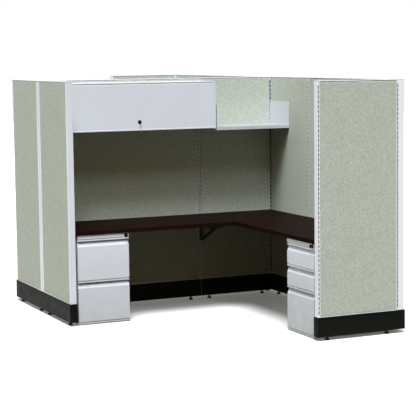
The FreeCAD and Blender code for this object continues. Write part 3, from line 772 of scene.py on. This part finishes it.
# Levelling feet: a domed pad, a lock nut and a threaded stem. Each nut is turned further than
# the last, in radians.
glideLook = {
    "foot": {"Pad radius": 17.0, "Pad height": 13.0, "Pad rim": 5.0, "Shoulder radius": 9.0,
             "Nut radius": 8.2, "Nut height": 5.5, "Stem radius": 4.6, "Stem top": 27.0,
             "Pad sides": 32, "Nut sides": 6, "Stem sides": 16},
    "inset": 76.0, "nutTurn": 0.37,
}
smallFootLook = {
    "foot": {"Pad radius": 12.0, "Pad height": 4.6, "Pad rim": 2.6, "Shoulder radius": 8.0,
             "Nut radius": 6.5, "Nut height": 0.3, "Stem radius": 5.0, "Stem top": 5.0,
             "Pad sides": 32, "Nut sides": 6, "Stem sides": 16},
    "inset": 40.0, "nutTurn": 0.37,
}


def buildFootTree():
    tree, given, out = openShapeTree("levellingFoot", glideLook["foot"])

    def turnedBar(part, topRadius, low, height):
        bar = putNode(tree, "GeometryNodeMeshCone", {
            "Vertices": given[part + " sides"], "Radius Top": given[topRadius],
            "Radius Bottom": given[part + " radius"], "Depth": height}).outputs[0]
        lift = putNode(tree, "ShaderNodeCombineXYZ", {2: low}).outputs[0]
        return putNode(tree, "GeometryNodeTransform", {
            "Geometry": bar, "Translation": lift}).outputs[0]

    rim, padTop = given["Pad rim"], given["Pad height"]
    dome = calc(tree, "SUBTRACT", padTop, rim)
    stem = calc(tree, "SUBTRACT", given["Stem top"], padTop)
    foot = joinShapes(tree, [
        turnedBar("Pad", "Pad radius", 0.0, rim),
        turnedBar("Pad", "Shoulder radius", rim, dome),
        turnedBar("Nut", "Nut radius", padTop, given["Nut height"]),
        turnedBar("Stem", "Stem radius", padTop, stem)])
    real = setOnPoints(tree, given["Places"], foot)
    painted = putNode(tree, "GeometryNodeSetMaterial", {
        "Geometry": real, "Material": finishes["footBlack"]}).outputs[0]
    tree.links.new(painted, out)
    return tree


# Two glides on each panel's middle line, and a foot at each corner of a pedestal
def footPlaces():
    glides, feet = [], []
    glideIn, footIn = glideLook["inset"] * mm, smallFootLook["inset"] * mm
    for node in frame["nodes"]:
        low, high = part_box(node)
        if node.endswith("_panel"):
            middle = (low + high) / 2
            if high.x - low.x > high.y - low.y:
                glides += [(x, middle.y, 0.0) for x in (low.x + glideIn, high.x - glideIn)]
            else:
                glides += [(middle.x, y, 0.0) for y in (low.y + glideIn, high.y - glideIn)]
        elif node.endswith("pedestal_case"):
            feet += [(x, y, 0.0) for x in (low.x + footIn, high.x - footIn)
                     for y in (low.y + footIn, high.y - footIn)]
    return glides, feet


footTree = buildFootTree()
glidePlaces, pedestalPlaces = footPlaces()
for name, node, look, places in (
        ("levellingGlides", "panel_glides", glideLook, glidePlaces),
        ("pedestalFeet", "pedestal_feet", smallFootLook, pedestalPlaces)):
    turns = [look["nutTurn"] * number for number in range(len(places))]
    feet = growPiece(name, footTree, places, turns, inMetres(look["foot"]))
    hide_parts(node)
print("feet made")


# Locks: a barrel and cam behind the sheet, a ring in front, and a key with a moulded bow
lockLook = {
    "sizes": {
        "barrel": 9.3, "ring": 14.2, "ringFront": 2.1, "ringGap": 0.3, "ringBevel": 0.9,
        "plug": 8.2, "plugBevel": 0.3, "grooveFoot": 0.4, "grooveMouth": 0.6,
        "bladeWidth": 6.0, "bladeThick": 2.0, "bladeLap": 1.0,
        "bowWide": 11.4, "bowThick": 4.4, "bowStart": 6.0, "bowEnd": 22.0,
        "camWidth": 7.0, "camReach": 10.0, "camThick": 2.0, "edge": 0.4,
    },
    "steps": {"ring": 40, "bow": 28, "edge": 2},
    # How far forward parts stand, as shares of the ring's front, and how much the bow narrows
    "shares": {"shoulder": 0.6, "groove": 0.7, "blade": 0.9, "plug": 0.95, "pinch": 0.28},
}


# Turns (radius, y) points round the Y axis into a closed solid
def lathe(work, profile, steps):
    rings = []
    for radius, y in profile:
        count = 1 if radius == 0 else steps
        angles = [2 * math.pi * i / steps for i in range(count)]
        rings.append([work.verts.new((radius * math.cos(angle), y, radius * math.sin(angle)))
                      for angle in angles])
    for first, second in zip(rings, rings[1:]):
        for i in range(steps):
            j = (i + 1) % steps
            loop = [first[i % len(first)], first[j % len(first)],
                    second[j % len(second)], second[i % len(second)]]
            unique = list(dict.fromkeys(loop))
            if len(unique) > 2:
                work.faces.new(unique)


# Solid plate in the YZ plane from outline points, as thick as given about the middle
def plate(work, outline, thickness, material):
    near = [work.verts.new((-thickness / 2, y, z)) for y, z in outline]
    far = [work.verts.new((thickness / 2, y, z)) for y, z in outline]
    faces = [work.faces.new(near), work.faces.new(far[::-1])]
    for i in range(len(outline)):
        j = (i + 1) % len(outline)
        faces.append(work.faces.new([near[j], near[i], far[i], far[j]]))
    for face in faces:
        face.material_index = material


def makeLock(name, node, centre, turn, depth):
    look, steps, share = inMetres(lockLook["sizes"]), lockLook["steps"], lockLook["shares"]
    black, steel = 0, 1  # the piece's material slots
    work = bmesh.new()
    barrel, ring, plugRadius, front = look["barrel"], look["ring"], look["plug"], look["ringFront"]
    gap, groove, plugFace = look["ringGap"], front * share["groove"], front * share["plug"]
    lathe(work, [
        (0, depth), (barrel, depth), (barrel, -gap), (ring, -gap),
        (ring, -front * share["shoulder"]), (ring - look["ringBevel"], -front),
        (plugRadius + look["grooveMouth"], -front), (plugRadius + look["grooveFoot"], -groove),
        (plugRadius, -groove), (plugRadius - look["plugBevel"], -plugFace), (0, -plugFace)],
        steps["ring"])
    blade, foot = look["bladeWidth"] / 2, front * share["blade"]
    tip = look["bowStart"] + look["bladeLap"]
    plate(work, [(-foot, -blade), (-tip, -blade), (-tip, blade), (-foot, blade)],
          look["bladeThick"], steel)
    middle = (look["bowStart"] + look["bowEnd"]) / 2
    reach = (look["bowEnd"] - look["bowStart"]) / 2
    bow = []
    for i in range(steps["bow"]):
        angle = 2 * math.pi * i / steps["bow"]
        pinch = 1 - share["pinch"] * math.cos(angle)
        bow.append((-middle + reach * math.cos(angle), look["bowWide"] * math.sin(angle) * pinch))
    plate(work, bow, look["bowThick"], black)
    camFront, camReach = depth - look["camThick"], look["camReach"]
    plate(work, [(camFront, 0.0), (depth, 0.0), (depth, camReach), (camFront, camReach)],
          look["camWidth"], steel)
    bmesh.ops.recalc_face_normals(work, faces=work.faces)
    work.transform(Matrix.Translation(centre) @ Matrix.Rotation(turn, 4, "Z"))
    mesh = bpy.data.meshes.new(name)
    work.to_mesh(mesh)
    work.free()
    made = linkPiece(name, mesh, finishes["lockBlack"], finishes["keySteel"])
    edge = made.modifiers.new("edge", "BEVEL")
    edge.width, edge.segments, edge.limit_method = look["edge"], steps["edge"], "ANGLE"
    flattened(made)
    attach(made, bodyOf[node])
    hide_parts(node)


for name, node, joint, turn in (
        ("leftPedestalLock", "left_pedestal_lock", "left_pedestal_lock_turn", 0.0),
        ("rightPedestalLock", "right_pedestal_lock", "right_pedestal_lock_turn", -math.pi / 2),
        ("cabinetLock", "cabinet_door_lock", "cabinet_lock_turn", 0.0)):
    place, high = jointPlace[joint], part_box(node)[1]
    makeLock(name, node, place, turn, high.x - place.x if turn else high.y - place.y)
print("locks made")


# The floor as it is seen, with a glow that grows over the fade, and as it gives light back
floorLook = {"seen": (0.60, 0.60, 0.60), "nearGlow": 0.12, "farGlow": 0.75, "fade": 0.6,
             "lit": (0.055, 0.045, 0.032), "reach": 30.0}
worldLook = {"strength": 0.165, "tint": (1.0, 0.60, 0.14)}
softSuns = {
    "keySun": {"energy": 6.3, "angle": 24.0, "tint": (0.945, 0.965, 1.0),
               "comesFrom": (-0.30, -0.53, 1.40)},
    "leftSun": {"energy": 0.80, "angle": 30.0, "tint": (0.98, 1.0, 0.97),
                "comesFrom": (-1.0, 0.0, 0.27)},
    "frontSun": {"energy": 0.6, "angle": 16.0, "tint": (1.0, 1.0, 1.0),
                 "comesFrom": (-0.10, -0.60, 0.72)},
    "backSun": {"energy": 1.0, "angle": 60.0, "tint": (1.0, 1.0, 1.0),
                "comesFrom": (0.7, 0.7, 0.35)},
}
white = (1.0, 1.0, 1.0)


# 1 for what the camera sees straight, in a reflection or through glass
def straightSight(tree):
    path = tree.nodes.new("ShaderNodeLightPath").outputs
    mirrored = calc(tree, "MAXIMUM", path["Is Glossy Ray"], path["Is Transmission Ray"])
    return calc(tree, "MAXIMUM", path["Is Camera Ray"], mirrored)


# White to the camera and in reflections, with the object's shadow, and dimmer for the light it
# bounces. Its glow grows away from the object, so that the shadow stays close to it.
def makeFloor():
    look, mesh = floorLook, bpy.data.meshes.new("studioFloor")
    reach = look["reach"]
    mesh.from_pydata([(-reach, -reach, 0), (reach, -reach, 0), (reach, reach, 0),
                      (-reach, reach, 0)], [], [(0, 1, 2, 3)])
    floor = bpy.data.objects.new("studioFloor", mesh)
    bpy.context.scene.collection.objects.link(floor)
    made = bpy.data.materials.new("studioWhite")
    made.use_nodes = True
    tree = made.node_tree
    tree.nodes.clear()
    pale = putNode(tree, "ShaderNodeBsdfDiffuse", {"Color": (*look["seen"], 1)}).outputs[0]
    place = tree.nodes.new("ShaderNodeTexCoord").outputs["Object"]
    parts = putNode(tree, "ShaderNodeSeparateXYZ", {0: place}).outputs
    away = calc(tree, "MAXIMUM", *(
        calc(tree, "SUBTRACT", calc(tree, "ABSOLUTE", parts[axis]), cadBox[1][axis])
        for axis in (0, 1)))
    strength = remap(tree, away, 0.0, look["fade"], look["nearGlow"], look["farGlow"])
    glow = putNode(tree, "ShaderNodeEmission", {"Color": (*white, 1), "Strength": strength})
    shown = putNode(tree, "ShaderNodeAddShader", {0: pale, 1: glow.outputs[0]}).outputs[0]
    dim = putNode(tree, "ShaderNodeBsdfDiffuse", {"Color": (*look["lit"], 1)}).outputs[0]
    mixed = putNode(tree, "ShaderNodeMixShader", {0: straightSight(tree), 1: dim, 2: shown})
    putNode(tree, "ShaderNodeOutputMaterial", {"Surface": mixed.outputs[0]})
    mesh.materials.append(made)


def lightScene():
    world = bpy.data.worlds.new("studio")
    bpy.context.scene.world = world
    world.use_nodes = True
    tree = world.node_tree
    tree.nodes.clear()
    strength = putNode(tree, "ShaderNodeMix", {
        0: straightSight(tree), 2: worldLook["strength"], 3: 1.0}, data_type="FLOAT").outputs[0]
    colour = blendColour(tree, straightSight(tree), worldLook["tint"], white)
    glow = putNode(tree, "ShaderNodeBackground", {"Color": colour, "Strength": strength})
    putNode(tree, "ShaderNodeOutputWorld", {"Surface": glow.outputs[0]})
    for name, look in softSuns.items():
        sun = bpy.data.lights.new(name, "SUN")
        sun.energy, sun.color, sun.angle = look["energy"], look["tint"], math.radians(look["angle"])
        made = bpy.data.objects.new(name, sun)
        made.rotation_mode = "QUATERNION"
        made.rotation_quaternion = Vector(look["comesFrom"]).to_track_quat("Z", "Y")
        bpy.context.scene.collection.objects.link(made)


# The photo is a crop from the side of a wider picture, so the lens is shifted a little
cameraLook = {"place": (-4.1299, -10.0075, 1.8708), "yaw": 25.433, "pitch": 5.821, "roll": -0.580,
              "focusPixels": 1431.5, "framePixels": 416, "shiftPixels": (-29, -7),
              "sensorWidth": 36.0, "farthest": 100.0}


def makeCamera():
    look = cameraLook
    data = bpy.data.cameras.new("camera")
    made = bpy.data.objects.new("camera", data)
    bpy.context.scene.collection.objects.link(made)
    data.sensor_width = look["sensorWidth"]
    data.lens = look["focusPixels"] * look["sensorWidth"] / look["framePixels"]
    data.shift_x, data.shift_y = (shift / look["framePixels"] for shift in look["shiftPixels"])
    data.clip_end = look["farthest"]
    yaw, pitch, roll = (math.radians(look[label]) for label in ("yaw", "pitch", "roll"))
    aim = (Matrix.Rotation(-yaw, 4, "Z") @ Matrix.Rotation(math.pi / 2 - pitch, 4, "X")
           @ Matrix.Rotation(roll, 4, "Z"))
    made.matrix_world = Matrix.Translation(look["place"]) @ aim
    bpy.context.scene.camera = made


makeFloor()
lightScene()
makeCamera()
bpy.context.scene.view_settings.view_transform = "Standard"
print("stage, lights and camera ready")
